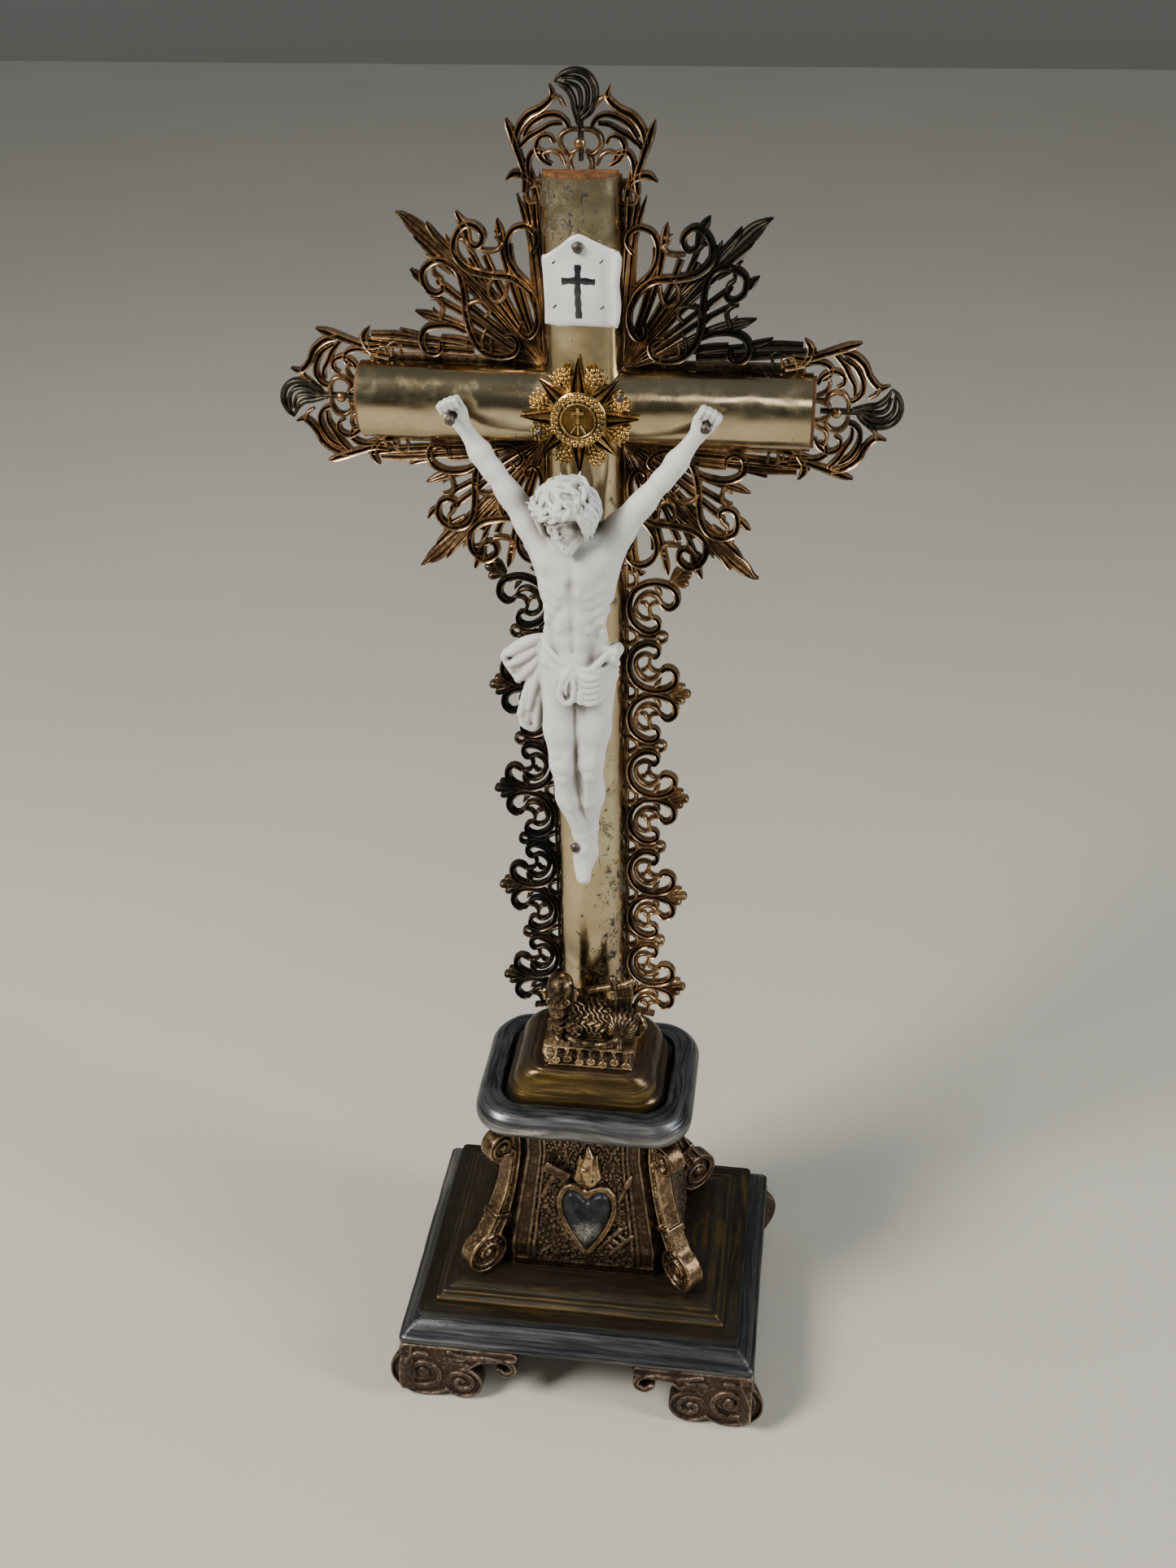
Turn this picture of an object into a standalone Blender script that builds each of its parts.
"""Standing altar cross: a nickel-sheathed wooden cross with pierced brass borders, on a cast scroll pedestal.

Sizes are in millimetres and the helpers turn them into Blender's metres. The origin is on the table, under
the middle of the base: +X is the viewer's right, the cross faces -Y, and +Z is up.
"""

import math

import bpy
import bmesh
from mathutils import Matrix, Vector
from mathutils.geometry import delaunay_2d_cdt

MM = 0.001
GAP = 0.3

# The cross
CROSSING_Z = 383.2
BACK_Y = 18.0
ARM_END = 69.6
TUBE_HALF = 12.1
TUBE_BULGE = 9.8
SHEET = 0.6
CORE_HALF = TUBE_HALF - SHEET - GAP
CORE_BULGE = TUBE_BULGE - SHEET - GAP
CORE_PROUD = 1.0
BORDER_THICK = 1.8
BORDER_Y = BACK_Y + GAP

# The pedestal
PLINTH_HALF = (68.6, 52.8)
PLINTH_BOTTOM = 29.5
PLINTH_TOP = 46.0
PLINTH_CEILING = 41.5
FOOT_TOP = PLINTH_BOTTOM - GAP
FOOT_VOLUTE = 13.2
FOOT_OVERHANG = 4.6
UPPER_Y = 2.0
LEAN_FROM = 58.0
LEAN_TO = 100.0
LEAN = 9.0
DIE_WALL = 3.0
DIE_ROOF = 4.0
DIE_TOP = 117.6
CAP_BOTTOM = DIE_TOP + GAP
CAP_HALF = (40.5, 32.5)
TIER_TOP = 142.4
SHAFT_BOTTOM = TIER_TOP + GAP

# The fixings
ROD_Y = BACK_Y - 4.6
ROD_RADIUS = 2.0
ROD_HOLE = 2.5
ROD_BOTTOM = 31.5
ROD_TOP = 186.0
PIN_RADIUS = 0.7
PIN_HOLE = 1.1
NAIL_TIP = BACK_Y - 5.2
BORE_END = BACK_Y - 4.6

FINISHES = {
    "nickel_sheet": ((0.62, 0.56, 0.44), 0.28, 1.0),
    "old_wood": ((0.30, 0.15, 0.07), 0.75, 0.0),
    "antique_brass": ((0.30, 0.17, 0.08), 0.38, 1.0),
    "bright_brass": ((0.62, 0.42, 0.14), 0.30, 1.0),
    "dark_iron": ((0.06, 0.06, 0.06), 0.55, 1.0),
    "bisque": ((0.85, 0.84, 0.81), 0.62, 0.0),
    "glazed_white": ((0.86, 0.86, 0.85), 0.18, 0.0),
    "bronze_figure": ((0.20, 0.14, 0.08), 0.42, 1.0),
    "silvered_black": ((0.30, 0.32, 0.35), 0.40, 1.0),
    "olive_gilt": ((0.36, 0.27, 0.09), 0.40, 1.0),
    "copper_bronze": ((0.36, 0.25, 0.16), 0.45, 1.0),
    "brown_bronze": ((0.16, 0.11, 0.07), 0.60, 1.0),
}


def clear_scene():
    for obj in list(bpy.data.objects):
        bpy.data.objects.remove(obj, do_unlink=True)


def make_finishes():
    made = {}
    for name, (colour, roughness, metallic) in FINISHES.items():
        finish = bpy.data.materials.new(name)
        finish.use_nodes = True
        shader = finish.node_tree.nodes["Principled BSDF"]
        shader.inputs["Base Color"].default_value = (*colour, 1.0)
        shader.inputs["Roughness"].default_value = roughness
        shader.inputs["Metallic"].default_value = metallic
        made[name] = finish
    return made


# ---------------------------------------------------------------- helpers

def solid(name, points, faces, finish, place=None):
    """A mesh object from points in millimetres, with its faces turned outwards."""
    mesh = bpy.data.meshes.new(name)
    shape = bmesh.new()
    corners = [shape.verts.new(Vector(p) * MM) for p in points]
    for face in faces:
        shape.faces.new([corners[i] for i in face])
    if place is not None:
        bmesh.ops.transform(shape, matrix=place, verts=shape.verts)
    bmesh.ops.recalc_face_normals(shape, faces=shape.faces)
    shape.to_mesh(mesh)
    shape.free()
    obj = bpy.data.objects.new(name, mesh)
    bpy.context.scene.collection.objects.link(obj)
    obj.parent = ROOT
    mesh.materials.append(FINISH[finish])
    return obj


def placed(x, y, z):
    return Matrix.Translation(Vector((x, y, z)) * MM)


def axes(a_axis, b_axis, t_axis, origin):
    """A placing matrix that takes drawing axes (a, b, thickness) to the three given directions."""
    rows = [(a_axis[i], b_axis[i], t_axis[i], origin[i] * MM) for i in range(3)]
    return Matrix((*rows, (0, 0, 0, 1)))


def bridged(rings):
    """Faces that join rings of equal length in turn and close both ends."""
    count = len(rings[0])
    faces = [tuple(range(count)), tuple(range((len(rings) - 1) * count, len(rings) * count))]
    for level in range(len(rings) - 1):
        low = level * count
        high = low + count
        for i in range(count):
            j = (i + 1) % count
            faces.append((low + i, low + j, high + j, high + i))
    return faces


def loft(name, rings, finish, place=None):
    return solid(name, [p for ring in rings for p in ring], bridged(rings), finish, place)


def join(objects):
    """One object from several, with the name and finish of the first."""
    first = objects[0]
    shape = bmesh.new()
    for obj in objects:
        shape.from_mesh(obj.data)
    shape.to_mesh(first.data)
    shape.free()
    for obj in objects[1:]:
        bpy.data.objects.remove(obj, do_unlink=True)
    return first


def circle(radius, sides, centre=(0.0, 0.0), start=0.0):
    turns = [start + 2 * math.pi * i / sides for i in range(sides)]
    return [(centre[0] + radius * math.cos(a), centre[1] + radius * math.sin(a)) for a in turns]


def cylinder(name, base, axis, radius, length, finish, sides=12, end_radius=None):
    """A round bar from base along axis."""
    end = radius if end_radius is None else end_radius
    rings = [[(x, y, 0) for x, y in circle(radius, sides)], [(x, y, length) for x, y in circle(end, sides)]]
    turn = Vector((0, 0, 1)).rotation_difference(Vector(axis)).to_matrix().to_4x4()
    return loft(name, rings, finish, Matrix.Translation(Vector(base) * MM) @ turn)


def turned(name, base, axis, profile, finish, sides=12):
    """A round shape from (radius, height) pairs along axis."""
    rings = [[(x, y, height) for x, y in circle(radius, sides)] for radius, height in profile]
    turn = Vector((0, 0, 1)).rotation_difference(Vector(axis)).to_matrix().to_4x4()
    return loft(name, rings, finish, Matrix.Translation(Vector(base) * MM) @ turn)


def cut(obj, cutter):
    cutter.hide_render = True
    cutter.display_type = "WIRE"
    boolean = obj.modifiers.new("cut_" + cutter.name, "BOOLEAN")
    boolean.operation = "DIFFERENCE"
    boolean.object = cutter
    boolean.solver = "EXACT"


def stroke(points, width):
    """Quads along a line of (a, b) or (a, b, width) points, mitred where they meet."""
    rows = [(p[0], p[1], p[2] if len(p) > 2 else width) for p in points]
    sides = []
    for i, (a, b, wide) in enumerate(rows):
        before = rows[max(i - 1, 0)]
        after = rows[min(i + 1, len(rows) - 1)]
        along = Vector((after[0] - before[0], after[1] - before[1])).normalized()
        across = Vector((-along.y, along.x)) * wide / 2
        sides.append(((a + across.x, b + across.y), (a - across.x, b - across.y)))
    return [[left0, right0, right1, left1] for (left0, right0), (left1, right1) in zip(sides, sides[1:])]


def pierced(name, patches, thickness, finish, place, holes=()):
    """A flat plate, drawn in (a, b), that is the union of its patches less its holes."""
    outlines = [loop if signed_area(loop) > 0 else loop[::-1] for loop in list(patches) + list(holes)]
    flat = [Vector(p) for outline in outlines for p in outline]
    loops = []
    for outline in outlines:
        first = sum(len(loop) for loop in loops)
        loops.append(list(range(first, first + len(outline))))
    points, _, triangles, _, _, owners = delaunay_2d_cdt(flat, [], loops, 0, 0.02)
    kept = []
    for triangle, owner in zip(triangles, owners):
        if owner and max(owner) < len(patches):
            kept.append(tuple(triangle))
    used = sorted({i for triangle in kept for i in triangle})
    order = {old: new for new, old in enumerate(used)}
    kept = [tuple(order[i] for i in triangle) for triangle in kept]
    edges = {(t[i], t[(i + 1) % 3]) for t in kept for i in range(3)}
    count = len(used)
    faces = list(kept) + [tuple(i + count for i in reversed(t)) for t in kept]
    for start, end in sorted(edges):
        if (end, start) not in edges:
            faces.append((end, start, start + count, end + count))
    low = [(points[i].x, points[i].y, 0.0) for i in used]
    high = [(x, y, thickness) for x, y, _ in low]
    return solid(name, low + high, faces, finish, place)


def signed_area(outline):
    return sum(a[0] * b[1] - b[0] * a[1] for a, b in zip(outline, outline[1:] + outline[:1]))


def unite(obj, others):
    """Joins overlapping helper solids to obj."""
    for other in others:
        other.hide_render = True
        other.display_type = "WIRE"
        union = obj.modifiers.new("join_" + other.name, "BOOLEAN")
        union.operation = "UNION"
        union.object = other
        union.solver = "EXACT"
    return obj


def rounded_rectangle(half_x, half_y, radius, z, steps=3, centre_y=0.0):
    ring = []
    for quarter, (sx, sy) in enumerate(((1, 1), (-1, 1), (-1, -1), (1, -1))):
        for i in range(steps + 1):
            turn = math.pi / 2 * (quarter + i / steps)
            x = sx * (half_x - radius) + radius * math.cos(turn)
            y = centre_y + sy * (half_y - radius) + radius * math.sin(turn)
            ring.append((x, y, z))
    return ring


def rectangle(half_x, half_y, z):
    return [(half_x, half_y, z), (-half_x, half_y, z), (-half_x, -half_y, z), (half_x, -half_y, z)]


# ---------------------------------------------------------------- pedestal

def foot(name, side_x, side_y):
    """A corner bracket foot: two scrolled wings that cross behind a round volute on each face."""
    volute = circle(FOOT_VOLUTE, 16, (FOOT_VOLUTE, 13.5))
    lobe = circle(8.6, 12, (28.2, 9.0))
    hook = circle(3.4, 8, (46.4, 18.2))
    band = [(6.0, 19.0), (49.7, 19.0), (49.7, FOOT_TOP), (6.0, FOOT_TOP)]
    web = [(7.0, 4.0), (29.0, 4.0), (29.0, 22.0), (7.0, 22.0)]
    pads = [[(left, 0), (left + 7.0, 0), (left + 7.0, 5), (left, 5)] for left in (9.6, 24.8)]
    outline = [volute, lobe, hook, band, web, *pads]
    reach_x = PLINTH_HALF[0] + FOOT_OVERHANG
    reach_y = PLINTH_HALF[1] + FOOT_OVERHANG
    front_place = axes((-side_x, 0, 0), (0, 0, 1), (0, side_y, 0), (side_x * reach_x, side_y * 45.8, 0))
    side_place = axes((0, -side_y, 0), (0, 0, 1), (side_x, 0, 0), (side_x * 61.6, side_y * reach_y, 0))
    front = pierced(name, outline, 7.0, "brown_bronze", front_place)
    side = pierced(name + "_side", outline, 7.0, "brown_bronze", side_place)
    block = box(name + "_block", (side_x * 61.0, side_y * 45.4, FOOT_TOP / 2), (9.0, 9.0, FOOT_TOP / 2),
                "brown_bronze")
    return unite(front, [side, block])


def box(name, centre, half, finish):
    rings = [rectangle(half[0], half[1], -half[2]), rectangle(half[0], half[1], half[2])]
    return loft(name, rings, finish, placed(*centre))


def plinth():
    """A hollow cast base with stepped mouldings, open underneath."""
    inner = [(20.0, PLINTH_CEILING), (6.0, 40.0), (4.5, PLINTH_BOTTOM)]
    outer = [(0, PLINTH_BOTTOM), (0, 32.0), (2.0, 34.6), (7.6, 38.1), (12.0, 38.6), (12.5, 42.6),
             (14.6, 43.2), (15.2, 44.6), (17.2, 44.6), (20.0, PLINTH_TOP)]
    rings = [rectangle(PLINTH_HALF[0] - inset, PLINTH_HALF[1] - inset, z) for inset, z in inner + outer]
    base = loft("plinth", rings, "silvered_black")
    cut(base, cylinder("plinth_hole", (0, ROD_Y, 30), (0, 0, 1), ROD_HOLE, 30, "dark_iron"))
    return base


def corner_setback(z):
    """How far the pedestal's cut corner stands in from the bottom volute, along the diagonal."""
    rise = (z - LEAN_FROM) / (LEAN_TO - LEAN_FROM)
    return -LEAN * min(max(rise, 0.0), 1.0)


def die_ring(z, wall=0.0):
    """An eight-sided ring, wall in from the outside: four panels and four corners that face the consoles."""
    shift = corner_setback(z) / math.sqrt(2)
    near_x, far_x = 27.8 + shift - wall / 2, 36.2 + shift - wall
    near_y, far_y = 16.0 + shift - wall / 2, 24.4 + shift - wall
    quarter = [(far_x, near_y), (near_x, far_y)]
    ring = list(quarter)
    ring += [(-x, y) for x, y in reversed(quarter)]
    ring += [(-x, -y) for x, y in quarter]
    ring += [(x, -y) for x, y in reversed(quarter)]
    return [(x, y + UPPER_Y, z) for x, y in ring]


def pedestal_die():
    """The cast body under the cap: its four panels lean in, and it is hollow and open below."""
    levels = [PLINTH_TOP + GAP, LEAN_FROM, LEAN_TO]
    inside = [die_ring(DIE_TOP - DIE_ROOF, DIE_WALL)] + [die_ring(z, DIE_WALL) for z in reversed(levels)]
    outside = [die_ring(z) for z in levels] + [die_ring(DIE_TOP)]
    body = loft("pedestal_die", inside + outside, "copper_bronze")
    cut(body, cylinder("die_hole", (0, ROD_Y, DIE_TOP - 10), (0, 0, 1), ROD_HOLE, 20, "dark_iron"))
    return body


CONSOLE_BASE = (32.0, 20.2)
CONSOLE_THICK = 6.4
LOW_VOLUTE = (9.4, 55.4)
LOW_VOLUTE_RADIUS = 8.8
HIGH_VOLUTE = (-0.6, 106.0)
HIGH_VOLUTE_RADIUS = 5.4


def console(name, side_x, side_y):
    """A scroll bracket on the diagonal: a small volute above, a long strap and a large volute below."""
    low = circle(LOW_VOLUTE_RADIUS, 16, LOW_VOLUTE)
    high = circle(HIGH_VOLUTE_RADIUS, 12, HIGH_VOLUTE)
    strap = stroke([(-4.6, 110.0, 6.0), (-5.8, 104.0, 5.0), (-5.6, 99.0, 5.0), (-4.4, 92.0, 5.0),
                    (-2.6, 84.0, 5.2), (-0.2, 77.0, 6.0), (3.0, 70.0, 7.0), (6.4, 64.0, 7.6), (9.0, 59.0, 8.0)], 6)
    root = [(-8.2, 104.0), (-4.0, 104.0), (-2.0, 115.6), (-8.2, 115.6)]
    slant = math.sqrt(0.5)
    half = CONSOLE_THICK / 2
    place = axes((side_x * slant, side_y * slant, 0), (0, 0, 1), (-side_y * slant, side_x * slant, 0),
                 (side_x * (CONSOLE_BASE[0] + half * slant * side_y * side_x),
                  side_y * CONSOLE_BASE[1] + UPPER_Y - half * slant * side_x, 0))
    return pierced(name, [low, high, root, *strap], CONSOLE_THICK, "copper_bronze", place)


def die_front(z):
    """The y of the front panel at height z, with its gap."""
    return UPPER_Y - (24.4 + corner_setback(z) / math.sqrt(2)) - GAP


RELIEF_BROW = 0.45
RELIEF_CROWN = 0.62


def relief(name, outline, lift, finish):
    """A low relief whose back follows the front panel and whose face stands out by lift."""
    centre = Vector((sum(p[0] for p in outline), sum(p[1] for p in outline))) / len(outline)
    back = [(x, die_front(z), z) for x, z in outline]
    brow = [(x, die_front(z) - lift * RELIEF_BROW, z) for x, z in outline]
    crown = []
    for x, z in outline:
        inner_x = centre.x + (x - centre.x) * RELIEF_CROWN
        inner_z = centre.y + (z - centre.y) * RELIEF_CROWN
        crown.append((inner_x, die_front(inner_z) - lift, inner_z))
    return loft(name, [back, brow, crown], finish)


def heart_outline():
    half = [(0.0, 57.6), (3.6, 63.0), (7.9, 70.6), (10.6, 79.0), (9.8, 85.4), (6.0, 88.4), (2.2, 87.0)]
    left = [(-x, z) for x, z in reversed(half[1:])]
    return [(x + 1.5, z) for x, z in half + [(0.0, 84.6)] + left]


def flame_outline():
    return [(1.0, 89.4), (3.6, 91.6), (4.4, 95.5), (3.2, 99.0), (4.0, 103.5), (2.0, 107.4), (0.4, 103.6),
            (-0.8, 99.6), (-0.4, 95.6), (-1.6, 92.0)]


def bar(name, start, end, width, lift):
    """One straight instrument lying on the front panel."""
    line = stroke([start, end], width)[0]
    return relief(name, line, lift, "copper_bronze")


def instruments():
    """The hammer, the lance and the ladder around the heart."""
    hammer = bar("hammer", (-15.6, 83.0), (-10.0, 95.4), 2.6, 1.8)
    unite(hammer, [bar("hammer_head", (-14.6, 97.4), (-5.6, 92.6), 3.6, 2.4)])
    bar("lance", (14.4, 84.4), (18.2, 93.4), 1.8, 1.6)
    ladder = bar("ladder", (6.4, 60.4), (14.2, 69.4), 1.8, 1.6)
    rungs = [bar("rung_%d" % i, (7.4 + 2.6 * i, 64.6 + 2.4 * i), (12.0 + 2.6 * i, 60.8 + 2.4 * i), 1.3, 1.3)
             for i in range(2)]
    unite(ladder, [bar("ladder_far_side", (11.4, 58.8), (18.8, 66.6), 1.8, 1.6), *rungs])


def cap_slab():
    """The silvered slab over the pedestal, with a round rim and a groove for the gilt tier."""
    profile = [(5.0, CAP_BOTTOM), (1.4, 119.2), (0.0, 122.6), (0.9, 126.4), (4.2, 129.4), (8.4, 130.2),
               (10.6, 127.6), (16.0, 127.6)]
    rings = []
    for inset, z in profile:
        radius = max(13.0 - inset * 0.6, 4.0)
        rings.append(rounded_rectangle(CAP_HALF[0] - inset, CAP_HALF[1] - inset, radius, z, 3, UPPER_Y))
    slab = loft("cap_slab", rings, "silvered_black")
    cut(slab, cylinder("cap_hole", (0, ROD_Y, 110), (0, 0, 1), ROD_HOLE, 30, "dark_iron"))
    return slab


def gilt_tier():
    """The ogee step that carries the book and the foot of the cross."""
    profile = [(0.0, 127.9), (0.0, 131.4), (1.2, 133.0), (2.4, 134.2), (4.6, 138.6), (7.4, 141.2),
               (10.6, TIER_TOP)]
    rings = []
    for inset, z in profile:
        rings.append(rounded_rectangle(29.0 - inset, 22.0 - inset * 0.42, max(8.0 - inset * 0.7, 0.8), z, 2,
                                       UPPER_Y))
    tier = loft("gilt_tier", rings, "olive_gilt")
    cut(tier, cylinder("tier_hole", (0, ROD_Y, 120), (0, 0, 1), ROD_HOLE, 40, "dark_iron"))
    return tier


# ---------------------------------------------------------------- book and lamb

BOOK_X = (-14.6, 18.2)
BOOK_Y = (-12.4, 6.2)
BOOK_Z = (TIER_TOP + GAP, 151.4)


def book():
    """A closed book lying flat, its spine rounded on the left."""
    low_y, high_y = BOOK_Y
    spine = [(BOOK_X[0] + 2.6 - 2.6 * math.cos(a), (low_y + high_y) / 2 + math.sin(a) * (high_y - low_y) / 2)
             for a in (-1.2, -0.6, 0.0, 0.6, 1.2)]
    outline = [(BOOK_X[1], low_y), (BOOK_X[1], high_y)] + list(reversed(spine))
    rings = [[(x, y, z) for x, y in outline] for z in BOOK_Z]
    return loft("book", rings, "bronze_figure")


def book_seals():
    """Seven seals on short ribbons, cast with the edge of the cover that they hang from."""
    shapes = [[(-8.6, 150.0), (17.2, 150.0), (17.2, 151.2), (-8.6, 151.2)]]
    for i in range(7):
        x = -7.4 + i * 3.9
        drop = 1.0 if i % 2 else 0.0
        shapes.append(circle(1.5, 8, (x, 145.4 - drop)))
        shapes += stroke([(x, 150.6), (x, 146.0 - drop)], 1.0)
    place = axes((1, 0, 0), (0, 0, 1), (0, -1, 0), (0, BOOK_Y[0] - GAP, 0))
    return pierced("book_seals", shapes, 0.9, "bronze_figure", place)


def blob(centre, radii, sides=10, rings=6):
    """Points and faces of one ellipsoid."""
    points, faces = [], []
    for j in range(1, rings):
        polar = math.pi * j / rings
        for i in range(sides):
            turn = 2 * math.pi * i / sides
            points.append((centre[0] + radii[0] * math.sin(polar) * math.cos(turn),
                           centre[1] + radii[1] * math.sin(polar) * math.sin(turn),
                           centre[2] + radii[2] * math.cos(polar)))
    top = len(points)
    points += [(centre[0], centre[1], centre[2] + radii[2]), (centre[0], centre[1], centre[2] - radii[2])]
    for j in range(rings - 2):
        for i in range(sides):
            k = (i + 1) % sides
            faces.append((j * sides + i, (j + 1) * sides + i, (j + 1) * sides + k, j * sides + k))
    for i in range(sides):
        k = (i + 1) % sides
        faces.append((top, i, k))
        faces.append((top + 1, (rings - 2) * sides + k, (rings - 2) * sides + i))
    return points, faces


def limb(line, sides=8):
    """Points and faces of a tapered tube through (x, y, z, radius) points."""
    points, faces = [], []
    for index, (x, y, z, radius) in enumerate(line):
        before = Vector(line[max(index - 1, 0)][:3])
        after = Vector(line[min(index + 1, len(line) - 1)][:3])
        turn = Vector((0, 0, 1)).rotation_difference(after - before).to_matrix()
        for a, b in circle(radius, sides):
            points.append(tuple(Vector((x, y, z)) + turn @ Vector((a, b, 0))))
    count = len(line)
    faces.append(tuple(range(sides)))
    faces.append(tuple(range((count - 1) * sides, count * sides)))
    for j in range(count - 1):
        for i in range(sides):
            k = (i + 1) % sides
            faces.append((j * sides + i, j * sides + k, (j + 1) * sides + k, (j + 1) * sides + i))
    return points, faces


def moulded(name, pieces, finish, voxel, keep):
    """One figure from overlapping lumps: they are fused by a voxel remesh and then thinned."""
    parts = [solid("%s_%d" % (name, i), points, faces, finish) for i, (points, faces) in enumerate(pieces)]
    parts[0].name = name
    figure = join(parts)
    fuse = figure.modifiers.new("fuse", "REMESH")
    fuse.mode = "VOXEL"
    fuse.voxel_size = voxel * MM
    thin = figure.modifiers.new("thin", "DECIMATE")
    thin.ratio = keep
    return figure


def lamb():
    """The lamb lying on the book, its head turned to the viewer on the left."""
    floor = BOOK_Z[1] + 3 * GAP
    pieces = [blob((3.5, -4.0, floor + 6.6), (14.0, 7.2, 6.8)),
              blob((12.2, -4.2, floor + 6.6), (6.4, 6.8, 7.0)),
              blob((-7.4, -4.6, floor + 7.4), (5.8, 6.4, 7.4)),
              limb([(-8.0, -5.4, floor + 9.0, 5.4), (-6.8, -6.4, floor + 15.6, 5.2),
                    (-7.0, -7.2, floor + 18.6, 3.4)]),
              limb([(-6.8, -7.0, floor + 17.0, 4.2), (-6.8, -10.4, floor + 12.6, 3.4),
                    (-6.8, -12.2, floor + 9.4, 2.2)]),
              limb([(-11.6, -5.6, floor + 17.0, 1.4), (-1.6, -5.6, floor + 16.4, 1.4)]),
              limb([(-9.0, -8.6, floor + 2.0, 1.9), (8.0, -9.6, floor + 1.9, 1.7)]),
              limb([(15.0, -8.6, floor + 2.2, 2.0), (4.0, -9.8, floor + 1.9, 1.6)])]
    return moulded("lamb", pieces, "bronze_figure", 1.0, 0.14)


def lamb_standard():
    """The staff with a small cross and a cloth that leans over the lamb's back."""
    floor = BOOK_Z[1] + GAP
    staff = limb([(-3.0, 5.6, floor + 15.2, 1.0), (13.0, 5.6, floor + 20.6, 1.0)], 8)
    across = limb([(8.2, 5.6, floor + 21.4, 0.9), (10.4, 5.6, floor + 14.4, 0.9)], 8)
    cloth = blob((12.0, 5.6, floor + 17.6), (3.0, 1.3, 4.4), 8, 5)
    return moulded("lamb_standard", [staff, across, cloth], "bronze_figure", 0.8, 0.25)


# ---------------------------------------------------------------- cross

def half_round(half, bulge, steps=8, back=BACK_Y, lift=0.0):
    """The section of the tubes, flat behind and rounded in front, as (across, y) points."""
    ring = []
    for i in range(steps + 1):
        turn = math.pi * i / steps
        ring.append((half * math.cos(turn), back - lift - bulge * math.sin(turn)))
    return ring


def core_shaft():
    section = half_round(CORE_HALF, CORE_BULGE)
    top = CROSSING_Z + ARM_END - CORE_PROUD + 1.2
    shaft = loft("core_shaft", [[(x, y, z) for x, y in section] for z in (SHAFT_BOTTOM, top)], "old_wood")
    # The half lap: the shaft keeps its back half where the arm crosses it.
    lap = box("shaft_lap", (0, BACK_Y - CORE_BULGE, CROSSING_Z),
              (TUBE_HALF + 2, CORE_BULGE / 2, CORE_HALF + GAP / 2), "old_wood")
    cut(shaft, lap)
    cut(shaft, cylinder("rod_bore", (0, ROD_Y, SHAFT_BOTTOM - 5), (0, 0, 1), ROD_HOLE,
                        ROD_TOP - SHAFT_BOTTOM + 7, "dark_iron"))
    cut(shaft, pin_cutters("shaft_pin_bores", SHAFT_PINS))
    cut(shaft, nail_bore("foot_bore", FOOT_NAIL))
    cut(shaft, nail_bore("title_bore", TITLE_NAIL))
    return shaft


def core_arm():
    section = half_round(CORE_HALF, CORE_BULGE)
    end = ARM_END + CORE_PROUD
    rings = [[(x, y, CROSSING_Z + a) for a, y in section] for x in (-end, end)]
    arm = loft("core_arm", rings, "old_wood")
    # The back of the arm is cut away where the shaft passes behind it.
    lap = box("arm_lap", (0, BACK_Y, CROSSING_Z), (CORE_HALF + GAP / 2, CORE_BULGE / 2 + GAP, TUBE_HALF + 2),
              "old_wood")
    cut(arm, lap)
    cut(arm, pin_cutters("arm_pin_bores", ARM_PINS))
    for name, spot in (("left_bore", HAND_NAILS[0]), ("right_bore", HAND_NAILS[1])):
        cut(arm, nail_bore(name, spot))
    for index, (dx, dz) in enumerate(MEDALLION_PINS):
        cut(arm, nail_bore("medal_bore_%d" % index, (dx, 0, CROSSING_Z + dz)))
    return arm


STRIP_INNER = 6.8
PIN_LINE = 8.6
GLORY_PIN = 40.0
CREST_PIN = 64.6
LACE_PIN = 150.0
LACE_RAIL = 13.4
SHAFT_PINS = [(side * PIN_LINE, CROSSING_Z + offset) for side in (-1, 1)
              for offset in (GLORY_PIN, -GLORY_PIN, -LACE_PIN)] + [(0.0, CROSSING_Z + CREST_PIN)]
ARM_PINS = [(side * CREST_PIN, CROSSING_Z) for side in (-1, 1)]
HAND_NAILS = [(-37.5, 0, 385.0), (39.0, 0, 385.0)]
FOOT_NAIL = (-2.5, 0, 234.0)
TITLE_NAIL = (0.5, 0, 434.4)
MEDALLION_PINS = [(12.6, 6.6), (-12.2, -4.9)]


def nail_bore(name, spot):
    """The hole for a nail that comes from the front, through the sheet and well into the wood."""
    start = BACK_Y - TUBE_BULGE - 3.0
    return cylinder(name, (spot[0], start, spot[2]), (0, 1, 0), PIN_HOLE, BORE_END - start, "dark_iron", 8)


def pin_cutters(name, spots):
    """The blind holes for the small nails that hold the borders to the back of the wood."""
    holes = [cylinder("%s_%d" % (name, i), (x, BACK_Y - 2.6, z), (0, 1, 0), PIN_HOLE, 6.0, "dark_iron", 6)
             for i, (x, z) in enumerate(spots)]
    holes[0].name = name
    return join(holes)


def sheath(name, start, end, turn):
    """A half-round sheet shell that runs out from the crossing, where its end is mitred."""
    section = half_round(TUBE_HALF, TUBE_BULGE, 10)
    section += reversed(half_round(TUBE_HALF - SHEET, TUBE_BULGE - SHEET, 10))
    mitred = [(x, y, start + abs(x)) for x, y in section]
    square = [(x, y, end) for x, y in section]
    place = Matrix.Translation((0, 0, CROSSING_Z * MM)) @ Matrix.Rotation(turn, 4, "Y")
    return loft(name, [mitred, square], "nickel_sheet", place)


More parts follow.
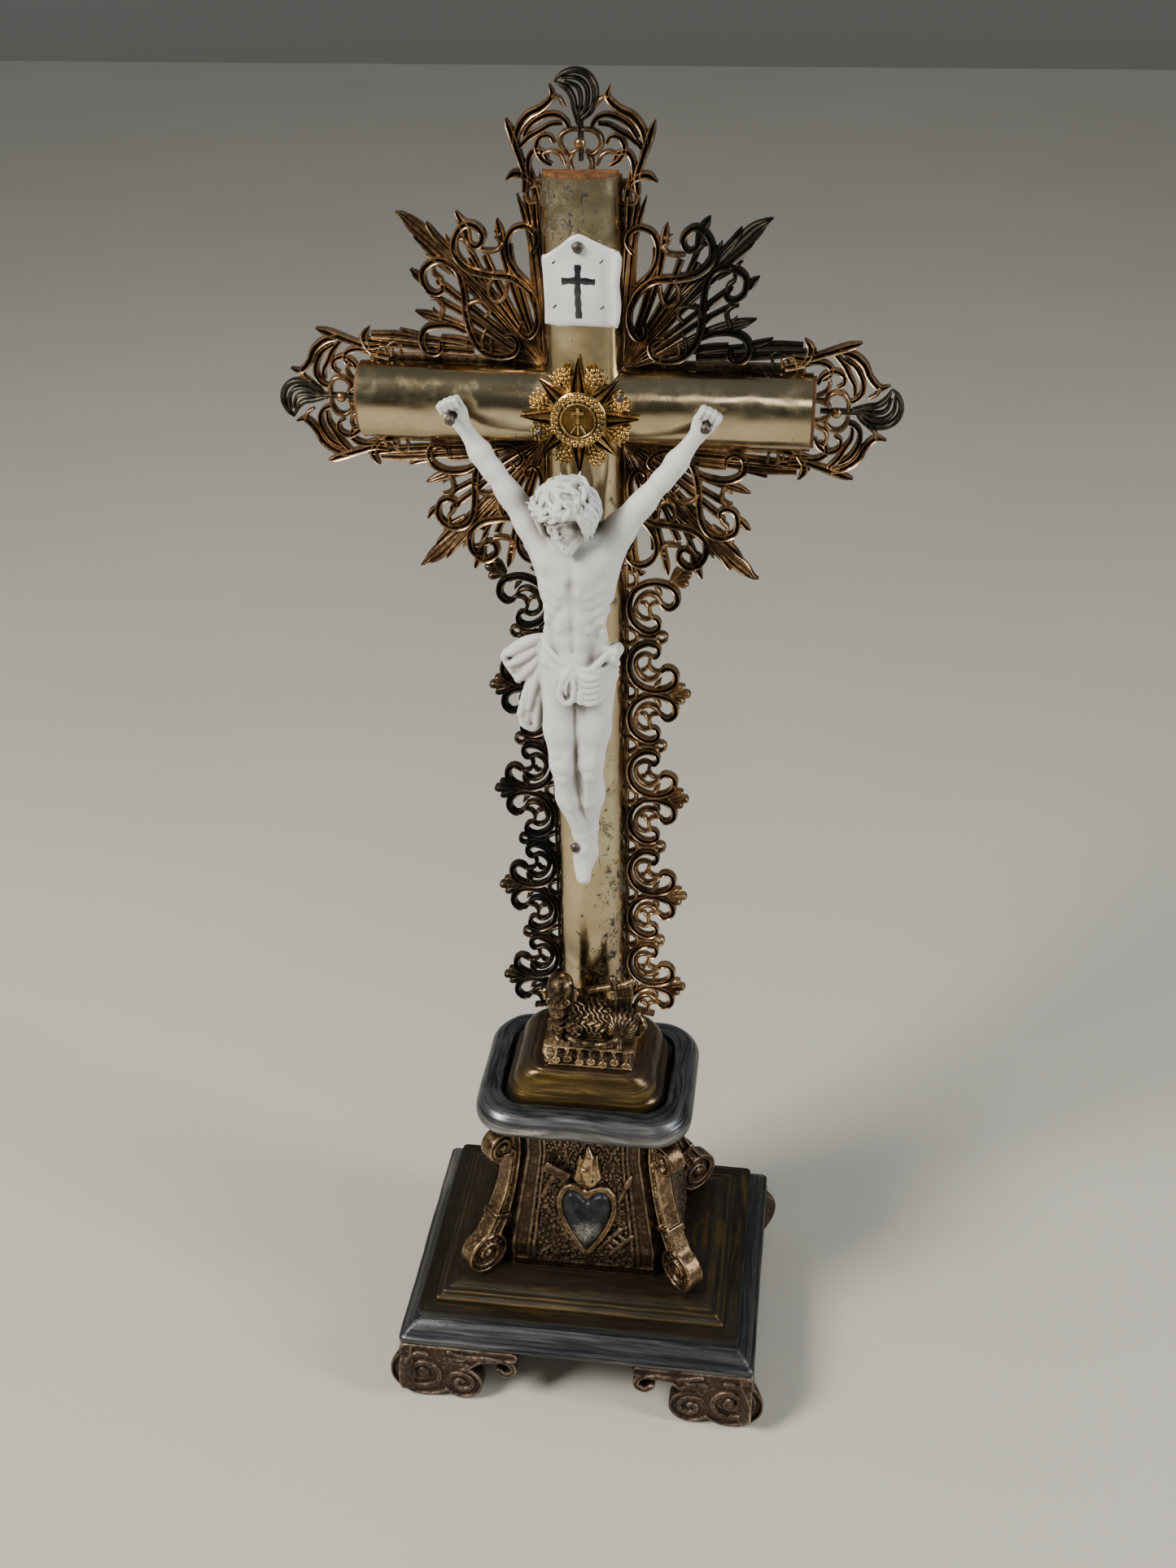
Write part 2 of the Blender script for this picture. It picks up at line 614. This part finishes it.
def sheaths():
    start = 0.25
    top = sheath("sheath_top", start, ARM_END - 0.6, 0.0)
    right = sheath("sheath_right", start, ARM_END, math.pi / 2)
    left = sheath("sheath_left", start, ARM_END, -math.pi / 2)
    shaft = sheath("sheath_shaft", start, CROSSING_Z - SHAFT_BOTTOM, math.pi)
    cut(top, nail_bore("top_sheath_hole", TITLE_NAIL))
    cut(shaft, nail_bore("shaft_sheath_hole", FOOT_NAIL))
    sides = ((right, HAND_NAILS[1], MEDALLION_PINS[0]), (left, HAND_NAILS[0], MEDALLION_PINS[1]))
    for tube, hand, (dx, dz) in sides:
        cut(tube, nail_bore(tube.name + "_hand_hole", hand))
        cut(tube, nail_bore(tube.name + "_medal_hole", (dx, 0, CROSSING_Z + dz)))


# ---------------------------------------------------------------- pierced borders

RAY_TIPS = [(17.0, 46.0), (25.0, 54.8), (37.2, 57.2), (46.5, 53.8), (50.4, 49.6), (52.2, 39.9), (51.7, 27.3)]
UPPER_SCROLLS = [
    [(30.5, 46.4), (29, 48.9), (30.5, 52.5), (35, 52.7), (39, 46.9), (37.5, 43.3), (33, 39.9), (27.5, 39.1),
     (20, 38.1), (15, 34), (13.5, 28.3), (14, 22.7), (17, 20.1), (19.5, 22.7)],
    [(15, 45.8), (12.7, 49.4), (14, 52), (17.5, 53.3), (21, 51), (22, 47.4), (21.5, 43.3), (19.5, 39.1)],
    [(30.5, 46.9), (27.6, 46.6), (23.5, 47.9)],
    [(26.5, 37.6), (28.5, 34), (27.5, 31.4), (25, 30.9), (23.2, 33.5), (23, 38.0)],
]
LOWER_SCROLLS = [
    [(42.7, 36.1), (43, 34), (45.5, 33), (48, 35.5), (48.5, 39.1), (45, 42.4), (40.5, 41.7), (37.5, 38.6),
     (36, 35), (35.7, 29.4), (35.5, 25.8), (34, 20.6), (30.5, 15.8), (26, 14.2), (21.5, 15.2), (19.7, 18)],
    [(35.7, 21.1), (40, 22.9), (45, 23.2), (49, 21.1), (50.2, 18), (49, 14.9), (46.5, 14.2)],
    [(46.5, 32.4), (44, 31.4), (42.7, 28.3), (44, 23.6)],
    [(35.4, 28.8), (32, 30.9), (29, 30.4), (28, 27.8), (30, 26.3)],
]


def border_place(side_x, side_z, turn=0.0):
    """Takes (across, up) drawings at the crossing to the back of the cross."""
    spin = Matrix.Rotation(turn, 4, "Y")
    return (Matrix.Translation((0, 0, CROSSING_Z * MM)) @ spin
            @ axes((side_x, 0, 0), (0, 0, side_z), (0, 1, 0), (0, BORDER_Y, 0)))


def pin_hole(a, b):
    return circle(PIN_HOLE, 6, (a, b))


def glory(name, side_x, side_z):
    """A quarter of the sunburst: rays from the crossing, tied by scrolls, with a rail along each tube."""
    corner = (12.6, 12.6)
    patches = stroke([(*corner, 2.4), (44, 45.6, 3.0), (48, 50.2, 5.0), (55.1, 57.0, 1.0)], 2.0)
    for tip in RAY_TIPS:
        if side_z < 0 and tip == RAY_TIPS[1]:
            tip = (23.6, 50.0)
        patches += stroke([(*corner, 1.6), (*tip, 1.8)], 1.8)
    for line in UPPER_SCROLLS + LOWER_SCROLLS:
        patches += stroke(line, 2.2)
    top = 54.0 if side_z < 0 else 61.6
    patches += stroke([(12.0, 9.6), (12.0, top)], 2 * (12.0 - STRIP_INNER))
    patches += stroke([(9.6, 12.0), (61.8, 12.0)], 2 * (12.0 - STRIP_INNER))
    holes = [pin_hole(PIN_LINE, GLORY_PIN)]
    return pierced(name, patches, BORDER_THICK, "antique_brass", border_place(side_x, side_z), holes)


CREST_LINES = [
    [(21.8, 66.4, 1.4), (18.6, 68.3), (13.6, 65.4)],
    [(21.2, 82.8, 1.0), (19.2, 76.6), (15.4, 66.6)],
    [(9.6, 93.0, 1.0), (7.4, 89.9), (14.0, 84.4), (18.6, 77.0)],
    [(17.6, 76.8), (13.0, 82.0), (7.0, 84.4), (2.8, 79.0)],
    [(15.0, 67.0), (14.4, 72.6), (11.6, 77.2), (6.0, 77.4)],
    [(12.0, 76.9), (10.4, 71.6), (5.0, 72.4), (5.6, 77.0)],
]
CREST_LEAF = [(-3.0, 84.0), (-1.9, 87.0), (-2.6, 89.6), (-7.0, 93.8), (-4.6, 95.8), (-1.0, 96.8), (2.2, 96.4),
              (4.6, 92.6), (4.4, 88.2), (2.8, 84.0)]


def crest(name, turn):
    """The finial at the end of a tube, with its own short rails along the tube."""
    patches = [CREST_LEAF, circle(1.9, 6, (0, 76.9)), *stroke([(0, 77.0), (0, 86.0)], 2.0)]
    for ring_x in (-3.2, 3.2):
        ring = circle(3.2, 6, (ring_x, 76.9))
        patches += stroke(ring + ring[:1], 1.7)
    for line in CREST_LINES:
        patches += stroke(line, 2.1)
        patches += stroke([(-p[0], *p[1:]) for p in line], 2.1)
    for side in (-1, 1):
        rail = stroke([(side * 13.4, 62.8), (side * 14.4, 71.0)], 6.0)
        patches += rail
    patches += stroke([(-14.0, 64.6), (14.0, 64.6)], 3.6)
    patches += [[(-9.4, 62.6), (9.4, 62.6), (9.4, 66.0), (-9.4, 66.0)]]
    patches += stroke([(-3.2, 65.0), (-3.2, 74.4)], 1.8) + stroke([(3.2, 65.0), (3.2, 74.4)], 1.8)
    holes = [pin_hole(0, CREST_PIN)]
    return pierced(name, patches, BORDER_THICK, "antique_brass", border_place(1, 1, turn), holes)


BUD_TOP = CROSSING_Z - 324.6
BUD_PITCH = 41.72
LACE_END = CROSSING_Z - 144.0
LACE_C = [(24.0, 8.0), (28.4, 9.8), (28.6, 3.6), (22.5, 1.0), (16.2, 3.2), (13.4, 9.6), (16.4, 17.4),
          (22.6, 18.2), (21.8, 13.4)]
LACE_INNER = [(24.4, 7.8), (19.6, 5.2), (16.4, 10.6), (21.8, 13.8)]


def lace(name, side_x):
    """The scrolled edging along the shaft: mirrored C scrolls between buds and rings, on a narrow rail."""
    middle = (STRIP_INNER + LACE_RAIL) / 2
    patches = stroke([(middle, BUD_TOP - 3.0), (middle, LACE_END)], LACE_RAIL - STRIP_INNER)
    ring_at = BUD_PITCH / 2
    for k in range(5):
        bud = BUD_TOP + k * BUD_PITCH
        patches.append([(24.6, bud - 1.8), (31.4, bud - 3.0), (34.4, bud), (31.4, bud + 3.0),
                        (24.6, bud + 1.8)])
        for way in (-1, 1):
            if (way < 0 and k == 0) or (way > 0 and k == 4):
                continue
            for line in (LACE_C, LACE_INNER):
                patches += stroke([(a, bud + way * t) for a, t in line], 2.0)
        if k < 4:
            ring = bud + ring_at
            patches.append([(19.6, ring - 3.4), (24.6, ring - 1.6), (24.6, ring + 1.6), (19.6, ring + 3.4)])
    last = BUD_TOP + 4 * BUD_PITCH
    patches += stroke([(a, last + t) for a, t in LACE_C[:6]], 2.0)
    holes = [pin_hole(PIN_LINE, LACE_PIN)]
    return pierced(name, patches, BORDER_THICK, "antique_brass", border_place(side_x, -1), holes)


def border_nails():
    """The round-headed nails that hold the borders, driven from behind into the wood."""
    back = BORDER_Y + BORDER_THICK + GAP
    profile = [(PIN_RADIUS, 0.0), (PIN_RADIUS, 4.2), (1.7, 4.2), (0.9, 5.2)]
    for index, (x, z) in enumerate(SHAFT_PINS + ARM_PINS):
        turned("border_nail_%d" % (index + 1), (x, back - 4.2, z), (0, 1, 0), profile, "dark_iron", 7)


# ---------------------------------------------------------------- medallion, title and figure

MEDAL_BACK = BACK_Y - TUBE_BULGE - GAP


def star():
    """The eight-pointed star over the mitred crossing, each ray raised to a ridge."""
    outline = []
    for i in range(16):
        turn = math.pi / 8 * i
        radius = 6.6 if i % 2 else (18.0 if i % 4 == 0 else 16.6)
        outline.append((radius * math.cos(turn), radius * math.sin(turn)))
    back_y = MEDAL_BACK - 0.9 - GAP
    back = [(x, back_y, CROSSING_Z + z) for x, z in outline]
    edge = [(x, back_y - 0.7, CROSSING_Z + z) for x, z in outline]
    ridge = [(x * 0.36, back_y - 1.8, CROSSING_Z + z * 0.36) for x, z in outline]
    return loft("medallion_star", [back, edge, ridge], "bright_brass")


def medallion_boss():
    """The round centre: a ring of leaves about a small domed field."""
    profile = [(7.6, 0.0), (8.6, 1.2), (8.2, 2.2), (6.4, 2.6), (5.6, 1.6), (4.8, 1.9), (2.6, 2.6)]
    base = (0, MEDAL_BACK - 2.7 - 2 * GAP, CROSSING_Z)
    return turned("medallion_boss", base, (0, -1, 0), profile, "bright_brass", 20)


def medallion_tufts():
    """The plate behind the star, with eight tufts that show between the rays; two take a nail."""
    patches = [circle(12.4, 24)]
    for i in range(8):
        turn = math.pi / 8 * (2 * i + 1)
        patches.append(circle(2.9, 10, (13.6 * math.cos(turn), 13.6 * math.sin(turn))))
    place = axes((1, 0, 0), (0, 0, 1), (0, -1, 0), (0, MEDAL_BACK, CROSSING_Z))
    holes = [pin_hole(*spot) for spot in MEDALLION_PINS]
    return pierced("medallion_tufts", patches, 0.9, "bright_brass", place, holes)


def long_nail(name, spot, head_y, finish="dark_iron"):
    """A round-headed nail driven straight back into the wood from head_y."""
    profile = [(0.9, 0.0), (1.6, 0.6), (PIN_RADIUS, 1.0), (PIN_RADIUS, NAIL_TIP - head_y)]
    return turned(name, (spot[0], head_y, spot[2]), (0, 1, 0), profile, finish, 7)


TITLE_Y = 4.6


def title_plaque():
    """The little glazed scroll: a peaked top, a rolled right corner and a plain painted cross."""
    outline = [(-9.8, 411.6), (10.6, 411.0), (11.9, 424.0), (11.8, 433.4), (6.0, 436.2), (0.6, 437.9),
               (-4.4, 435.4), (-9.9, 431.4), (-9.6, 421.0)]
    back = [(x, TITLE_Y + 1.6 + 0.012 * x * x, z) for x, z in outline]
    front = [(x, TITLE_Y + 0.012 * x * x, z) for x, z in outline]
    return back, front


def make_title():
    back, front = title_plaque()
    plaque = loft("title_plaque", [back, front], "glazed_white")
    spot = (TITLE_NAIL[0], 0, TITLE_NAIL[2])
    cut(plaque, cylinder("title_hole", spot, (0, 1, 0), PIN_HOLE, 12, "dark_iron", 8))
    return plaque


def corpus():
    """The hanging figure: bowed head, arms stretched up to the nails, cloth about the hips, feet crossed."""
    mid = -1.4
    pieces = [
        limb([(-1.6, mid, 288, 9.6), (-1.0, mid, 300, 9.6), (-0.6, mid, 314, 8.2), (-0.8, mid, 326, 8.8),
              (-1.0, mid, 338, 9.4), (-1.0, mid + 0.6, 346, 8.4)], 10),
        blob((-1.0, mid + 1.6, 343), (12.6, 7.0, 7.0)),
        limb([(-2.0, mid, 344, 4.4), (-4.0, mid - 5, 352, 4.8)]),
        blob((-4.6, mid - 8.0, 357.0), (7.6, 8.2, 10.6)),
        limb([(-10.0, mid + 1, 345, 4.6), (-16.8, mid + 1, 355, 3.8), (-25.0, mid + 2, 367.5, 3.1),
              (-34.6, mid + 4, 381.0, 2.4), (-37.6, mid + 5, 385.2, 2.9), (-38.2, mid + 4, 389.6, 3.2)]),
        limb([(8.4, mid + 1, 343, 4.6), (14.6, mid + 1, 352.6, 3.8), (25.0, mid + 2, 366.0, 3.1),
              (35.6, mid + 4, 380.6, 2.4), (39.2, mid + 5, 385.2, 2.9), (41.0, mid + 4, 389.4, 3.2)]),
        limb([(-5.8, mid, 296, 6.8), (-6.6, mid - 2, 283, 6.2), (-5.6, mid - 5, 268, 4.9),
              (-4.2, mid - 3, 254, 4.6), (-0.8, mid - 0.4, 239, 2.9), (0.2, mid - 1.0, 227, 3.2),
              (0.4, mid - 3.4, 221.6, 2.2)]),
        limb([(4.4, mid, 296, 6.8), (4.0, mid - 2, 283, 6.2), (3.6, mid - 4.4, 268, 4.8),
              (3.4, mid - 2, 254, 4.2), (2.0, mid + 1.4, 239, 2.8), (1.4, mid + 0.6, 228, 3.0),
              (1.0, mid - 1.0, 223.4, 2.0)]),
        limb([(-12.6, mid, 304, 4.8), (-2.0, mid - 6.4, 301, 4.4), (10.4, mid, 304, 5.0)]),
        limb([(-13.0, mid, 306, 4.4), (-19.0, mid + 2, 297, 5.0), (-20.6, mid + 3, 284, 4.0),
              (-19.6, mid + 4, 276, 2.2)]),
        blob((-1.4, mid - 2.6, 298), (12.0, 8.2, 7.6)),
    ]
    figure = moulded("corpus", pieces, "bisque", 1.3, 0.1)
    for name, spot in (("corpus_left_hole", HAND_NAILS[0]), ("corpus_right_hole", HAND_NAILS[1]),
                       ("corpus_foot_hole", FOOT_NAIL)):
        cut(figure, cylinder(name, (spot[0], -20, spot[2]), (0, 1, 0), PIN_HOLE + 0.1, 40, "dark_iron", 8))
    return figure


# ---------------------------------------------------------------- fixings

def tie_rod():
    length = ROD_TOP - ROD_BOTTOM
    return cylinder("tie_rod", (0, ROD_Y, ROD_BOTTOM), (0, 0, 1), ROD_RADIUS, length, "dark_iron", 12)


def washer_and_nut():
    under = PLINTH_CEILING - GAP - 1.4
    hole = circle(ROD_HOLE, 12)
    pierced("tie_washer", [circle(8.0, 16)], 1.4, "dark_iron", placed(0, ROD_Y, under), [hole])
    pierced("tie_nut", [circle(4.6, 6)], 3.4, "dark_iron", placed(0, ROD_Y, under - GAP - 3.4), [hole])


def build():
    for side_y, where in ((-1, "front"), (1, "back")):
        for side_x, hand in ((-1, "left"), (1, "right")):
            foot("foot_%s_%s" % (where, hand), side_x, side_y)
            console("console_%s_%s" % (where, hand), side_x, side_y)
    plinth()
    pedestal_die()
    relief("heart", heart_outline(), 4.2, "silvered_black")
    relief("heart_flame", flame_outline(), 2.0, "copper_bronze")
    instruments()
    cap_slab()
    gilt_tier()
    book()
    book_seals()
    lamb()
    lamb_standard()
    core_shaft()
    core_arm()
    sheaths()
    glory("glory_top_left", -1, 1)
    glory("glory_top_right", 1, 1)
    glory("glory_low_left", -1, -1)
    glory("glory_low_right", 1, -1)
    crest("crest_top", 0.0)
    crest("crest_right", math.pi / 2)
    crest("crest_left", -math.pi / 2)
    lace("lace_left", -1)
    lace("lace_right", 1)
    border_nails()
    star()
    medallion_boss()
    medallion_tufts()
    for index, (dx, dz) in enumerate(MEDALLION_PINS):
        long_nail("medallion_nail_%d" % (index + 1), (dx, 0, CROSSING_Z + dz), MEDAL_BACK - 3.4)
    make_title()
    long_nail("title_nail", TITLE_NAIL, TITLE_Y - 1.3)
    corpus()
    long_nail("nail_left_hand", HAND_NAILS[0], -6.2)
    long_nail("nail_right_hand", HAND_NAILS[1], -6.2)
    long_nail("nail_feet", FOOT_NAIL, -6.4)
    tie_rod()
    washer_and_nut()


clear_scene()
FINISH = make_finishes()
ROOT = bpy.data.objects.new("altar_cross", None)
bpy.context.scene.collection.objects.link(ROOT)
build()
